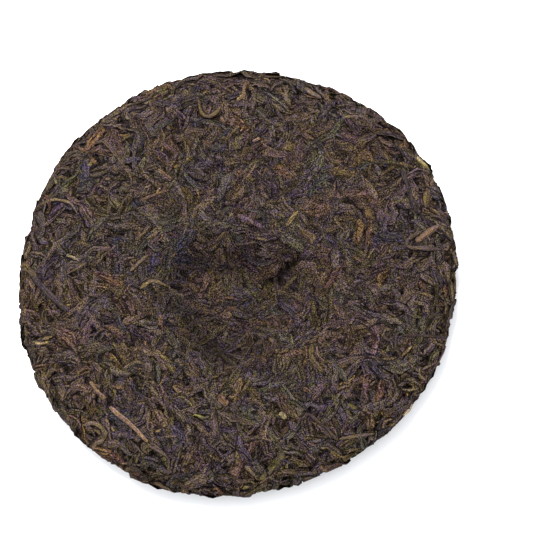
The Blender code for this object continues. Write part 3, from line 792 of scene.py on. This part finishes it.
def placed_layer(name, seed, table, corners, roundness, uneven, blunt, least, material):
    """The pieces of one table, each at its place in the photograph."""
    draw = np.random.default_rng(seed)
    rows = list(table.values())
    rings, count = 11, len(rows)
    path = np.stack([smooth_path(map_places(row[4:]), rings) for row in rows])
    width = np.array([row[0] for row in rows])
    height = np.array([row[1] for row in rows])
    colours = np.array([row[2] * np.array(row[3]) for row in rows])
    share = np.linspace(-1, 1, rings)[None]
    half = width[:, None] / 2 * np.sqrt(np.maximum(least, 1 - np.abs(share) ** blunt))
    half = half * np.exp(uneven * draw.normal(size=(count, rings)))
    lift = height[:, None] - 0.45 * np.abs(share) ** 6
    roll = draw.normal(size=(count, 1)) * 0.08 + 0.12 * draw.normal(size=(count, 1)) * share
    # sides gives round pieces painted shade toward their sides
    form = dict(corners=corners, square=2.4, drop=roundness * half[..., None], folds=0.05, fold_count=4.5,
                wrinkle=0.03, depth=1.1, sides=ROUND_PAINTED_SHADE * roundness)
    length = np.linalg.norm(np.diff(path, axis=1), axis=-1).sum(1)
    strips = dict(side=np.zeros(count, int), path=path, half=half, lift=lift, roll=roll,
                  press=height + 0.1, length=length)
    return strip_piece(name, draw, strips, form, colours, material)


def ring_start(ring):
    """Number of the first point of a disc's ring."""
    return 1 + 3 * ring * (ring - 1) if ring else 0


def disc(rings, reach):
    """Places on the map and triangles of a disc whose ring k has 6 k points."""
    places, faces = [np.zeros((1, 2))], []
    for ring in range(rings):
        count = 6 * (ring + 1)
        turns = 2 * math.pi * np.arange(count) / count
        away = reach * (ring + 1) / rings
        places.append(np.stack([away * np.cos(turns), away * np.sin(turns)], axis=-1))
        sector, i = np.divmod(np.arange(count), ring + 1)
        inner = ring_start(ring) + (sector * ring + i) % max(1, 6 * ring)
        outer = ring_start(ring + 1) + np.arange(count)
        outer_next = ring_start(ring + 1) + (np.arange(count) + 1) % count
        faces.append(np.stack([inner, outer, outer_next], axis=-1))
        inner_next = ring_start(ring) + (sector * ring + i + 1) % max(1, 6 * ring)
        faces.append(np.stack([inner, outer_next, inner_next], axis=-1)[i < ring])
    return np.concatenate(places), np.concatenate(faces)


def core_piece(material):
    """The crumpled mass of leaf below the outermost ones: two discs that meet at the rim, coloured dark
    with painted shade where it shows between leaves.
    """
    places, faces = disc(CORE_RINGS, WAY_TO_RIM)
    inside = ring_start(CORE_RINGS)
    under_faces = np.where(faces < inside, faces + len(places), faces)[:, ::-1]
    side = np.concatenate([np.full(len(places), FACE), np.full(inside, UNDER)])
    places = np.concatenate([places, places[:inside]])
    u, v = places[:, 0], places[:, 1]
    folds = 1 - 2 * np.abs(wave(u + 300 * side, v, 2.8, 11)) + 0.5 * wave(u + 300 * side, v, 1.2, 13)
    soft = softness(side, u, v)
    depth = (CORE_DEPTH + CORE_FOLDS * folds) * (0.6 + 0.6 * soft) - 0.35 * looseness(u, v)
    corner = skin(side, u, v) + skin_normal(side, u, v) * depth[:, None]
    corner[:, 2] = flattened(corner[:, 2], 7 * CLEARANCE_UNDER)
    spots = 0.24 * places / WAY_TO_RIM + 0.5
    uv = np.concatenate([spots[faces] - (0.25, 0.0), spots[under_faces] + (0.25, 0.0)])
    # Painted shade: darker in the sunken folds and toward the rim, where the gaps are deeper, times the
    # tone by place
    shade = tone(side, u, v) * np.clip(0.75 + 0.35 * folds, 0.35, 1.3) * (1.6 - 0.8 * soft)
    tint = np.array(CORE_COLOUR_WITH_PAINTED_SHADE) * shade[:, None]
    every = np.concatenate([faces, under_faces])
    return mesh_piece("pressed_core", corner, every, uv, tint, 0.6 * corner * (8, 1, 1), soft, material)


# Materials

def leaf_material(name, creased, rough_low, rough_high, speck):
    """Dry leaf: the piece's colour, creases darkened with painted shade and streaks along it, specks,
    blotches, a dull sheen.
    """
    material = bpy.data.materials.new(name)
    material.use_nodes = True
    tree = material.node_tree
    shader = tree.nodes["Principled BSDF"]

    def node(kind, **values):
        made = tree.nodes.new(kind)
        for key, value in values.items():
            setattr(made, key, value)
        return made

    def link(source, target):
        tree.links.new(source, target)

    def stretched(source, scale):
        made = node("ShaderNodeMapping")
        made.inputs["Scale"].default_value = scale
        link(source, made.inputs["Vector"])
        return made.outputs["Vector"]

    def texture(source, scale, detail, roughness):
        made = node("ShaderNodeTexNoise")
        made.inputs["Scale"].default_value = scale
        made.inputs["Detail"].default_value = detail
        made.inputs["Roughness"].default_value = roughness
        link(source, made.inputs["Vector"])
        return made.outputs["Fac"]

    def spread(source, low, high, to_low, to_high):
        made = node("ShaderNodeMapRange")
        made.inputs["From Min"].default_value, made.inputs["From Max"].default_value = low, high
        made.inputs["To Min"].default_value, made.inputs["To Max"].default_value = to_low, to_high
        link(source, made.inputs["Value"])
        return made.outputs["Result"]

    def times(colour, factor, share):
        made = node("ShaderNodeMix", data_type="RGBA", blend_type="MULTIPLY")
        if isinstance(share, float):
            made.inputs["Factor"].default_value = share
        else:
            link(share, made.inputs["Factor"])
        link(colour, made.inputs["A"])
        link(factor, made.inputs["B"])
        return made.outputs["Result"]

    def bump(height, distance, strength, before=None):
        made = node("ShaderNodeBump")
        if isinstance(strength, float):
            made.inputs["Strength"].default_value = strength
        else:
            link(strength, made.inputs["Strength"])
        made.inputs["Distance"].default_value = distance
        link(height, made.inputs["Height"])
        if before:
            link(before, made.inputs["Normal"])
        return made.outputs["Normal"]

    tint = node("ShaderNodeAttribute", attribute_name="tint").outputs["Color"]
    grain = node("ShaderNodeAttribute", attribute_name="grain").outputs["Vector"]
    place = node("ShaderNodeTexCoord").outputs["Object"]
    fibre = texture(stretched(grain, FIBRE_SCALE), 1.0, 2.0, 0.50)
    streak = texture(stretched(grain, STREAK_SCALE), 1.0, 1.0, 0.50)
    # Thin creases along the leaf, darkened as painted shade and bumped
    crease = node("ShaderNodeValToRGB")
    crease.color_ramp.elements[0].position, crease.color_ramp.elements[1].position = 0.45, 0.55
    crease.color_ramp.elements.new(0.5).color = (CREASE_PAINTED_SHADE, CREASE_PAINTED_SHADE, CREASE_PAINTED_SHADE, 1.0)
    crease.color_ramp.elements[0].color = crease.color_ramp.elements[2].color = (1.0, 1.0, 1.0, 1.0)
    link(fibre, crease.inputs["Fac"])
    dust = texture(place, SPECK_SCALE, 1.0, 0.5)
    blotch = texture(place, BLOTCH_SCALE, 2.0, 0.5)
    hue = node("ShaderNodeValToRGB")
    hue.color_ramp.elements[0].position, hue.color_ramp.elements[1].position = 0.40, 0.60
    hue.color_ramp.elements[0].color = (0.90, 0.85, 1.20, 1.0)
    hue.color_ramp.elements[1].color = (1.10, 1.10, 0.70, 1.0)
    link(blotch, hue.inputs["Fac"])
    soft = node("ShaderNodeAttribute", attribute_name="soft").outputs["Fac"]
    colour = times(tint, crease.outputs["Color"], spread(soft, 0, 1, HARD_CREASE * creased, creased))
    colour = times(colour, spread(fibre, 0.35, 0.65, 0.85, 1.15), 1.0)
    colour = times(colour, spread(streak, 0.35, 0.65, 1 - STREAK_SHADE, 1 + STREAK_SHADE), creased)
    dusty = spread(soft, 0, 1, HARD_SPECK, SOFT_SPECK)
    specks = spread(dust, 0.5 - SPECK_RANGE, 0.5 + SPECK_RANGE, 1 - speck, 1 + speck)
    colour = times(colour, specks, dusty)
    colour = times(colour, hue.outputs["Color"], 0.8)
    link(colour, shader.inputs["Base Color"])
    link(spread(dust, 0.3, 0.7, rough_low, rough_high), shader.inputs["Roughness"])
    coarse = bump(crease.outputs["Color"], CREASE_DEPTH, 0.8)
    link(bump(dust, SPECK_DEPTH, dusty, coarse), shader.inputs["Normal"])
    shader.inputs["Specular IOR Level"].default_value = SHEEN
    return material


def floor_material():
    """Pale, very slightly uneven paper."""
    material = bpy.data.materials.new("pale_floor")
    material.use_nodes = True
    tree = material.node_tree
    shader = tree.nodes["Principled BSDF"]
    place = tree.nodes.new("ShaderNodeTexCoord")
    mottle = tree.nodes.new("ShaderNodeTexNoise")
    mottle.inputs["Scale"].default_value = 60.0
    ramp = tree.nodes.new("ShaderNodeValToRGB")
    ramp.color_ramp.elements[0].color = (0.915, 0.92, 0.93, 1.0)
    ramp.color_ramp.elements[1].color = (0.94, 0.94, 0.945, 1.0)
    tree.links.new(place.outputs["Object"], mottle.inputs["Vector"])
    tree.links.new(mottle.outputs["Fac"], ramp.inputs["Fac"])
    tree.links.new(ramp.outputs["Color"], shader.inputs["Base Color"])
    shader.inputs["Roughness"].default_value = 0.9
    shader.inputs["Specular IOR Level"].default_value = 0.1
    return material


# Stage, lights and camera

def add_floor():
    mesh = bpy.data.meshes.new("floor")
    reach = 4.0
    corners = [(-reach, -reach, 0), (reach, -reach, 0), (reach, reach, 0), (-reach, reach, 0)]
    mesh.from_pydata(corners, [], [(0, 1, 2, 3)])
    mesh.materials.append(floor_material())
    floor = bpy.data.objects.new("floor", mesh)
    bpy.context.scene.collection.objects.link(floor)


def add_area_light(name, place, size, power, colour):
    data = bpy.data.lights.new(name, "AREA")
    data.shape = "DISK"
    data.size = size
    data.energy = power
    data.color = colour
    light = bpy.data.objects.new(name, data)
    bpy.context.scene.collection.objects.link(light)
    light.location = place
    light.rotation_mode = "QUATERNION"
    light.rotation_quaternion = (-Vector(place)).to_track_quat("-Z", "Y")


def add_lights():
    add_area_light("window", WINDOW_PLACE, WINDOW_SIZE, WINDOW_POWER, (1.0, 0.97, 0.94))
    world = bpy.data.worlds.new("studio")
    world.use_nodes = True
    background = world.node_tree.nodes["Background"]
    background.inputs["Color"].default_value = (0.96, 0.98, 1.0, 1.0)
    background.inputs["Strength"].default_value = SKY_STRENGTH
    bpy.context.scene.world = world
    bpy.context.scene.view_settings.view_transform = "Standard"


def add_camera():
    """The photograph's camera."""
    right, up, back, target = photo_view()
    data = bpy.data.cameras.new("camera")
    data.sensor_width = SENSOR
    data.lens = SENSOR * CAMERA_DISTANCE / (PHOTO_PIXELS * MM_PER_PIXEL * MM)
    camera = bpy.data.objects.new("camera", data)
    bpy.context.scene.collection.objects.link(camera)
    turn = Matrix((right, up, back)).transposed().to_4x4()
    camera.matrix_world = Matrix.Translation(target + back * CAMERA_DISTANCE) @ turn
    data.clip_start, data.clip_end = 0.01, 20.0
    bpy.context.scene.camera = camera


def main():
    add_camera()
    add_floor()
    add_lights()
    leaf = leaf_material("pressed_leaf", 1.0, 0.60, 0.90, 1.0)
    waxy = leaf_material("waxy_leaf", 0.7, 0.50, 0.80, 0.60)
    stem = leaf_material("stem_bark", 0.4, 0.50, 0.80, 0.60)
    crumb = leaf_material("leaf_crumb", 1.0, 0.65, 0.95, 1.0)
    core_piece(crumb)
    leaf_layer("broad_leaves", 21, 1300, (3.4, 7.0), (9.0, 19.0), (VIOLET, WARM, DUSKY), 0.06, leaf)
    leaf_layer("dark_leaves", 22, 1300, (2.5, 5.2), (8.0, 24.0), (VIOLET, DUSKY, WARM), 0.07, leaf)
    leaf_layer("brown_leaves", 23, 1300, (2.5, 5.2), (8.0, 24.0), (WARM, MOSSY, VIOLET), 0.07, leaf)
    leaf_layer("thin_leaves", 24, 500, (1.2, 2.4), (6.0, 17.0), (WARM, MOSSY, DUSKY), 0.12, leaf)
    bud_layer("leaf_buds", 31, 170, (GOLD, BARK, OLIVE, BROWN, RUST), waxy)
    curl_layer("rim_curls", 41, 560, (WARM, MOSSY, VIOLET, UMBER), leaf)
    crumb_layer("leaf_crumbs", 51, 1600, (WARM, MOSSY, VIOLET, UMBER), crumb)
    placed_layer("shown_stems", 61, STEMS, 8, 0.95, 0.08, 16, 0.4, stem)
    placed_layer("shown_leaves", 62, LEAVES, 6, 0.45, 0.18, 5, 0.1, waxy)


main()
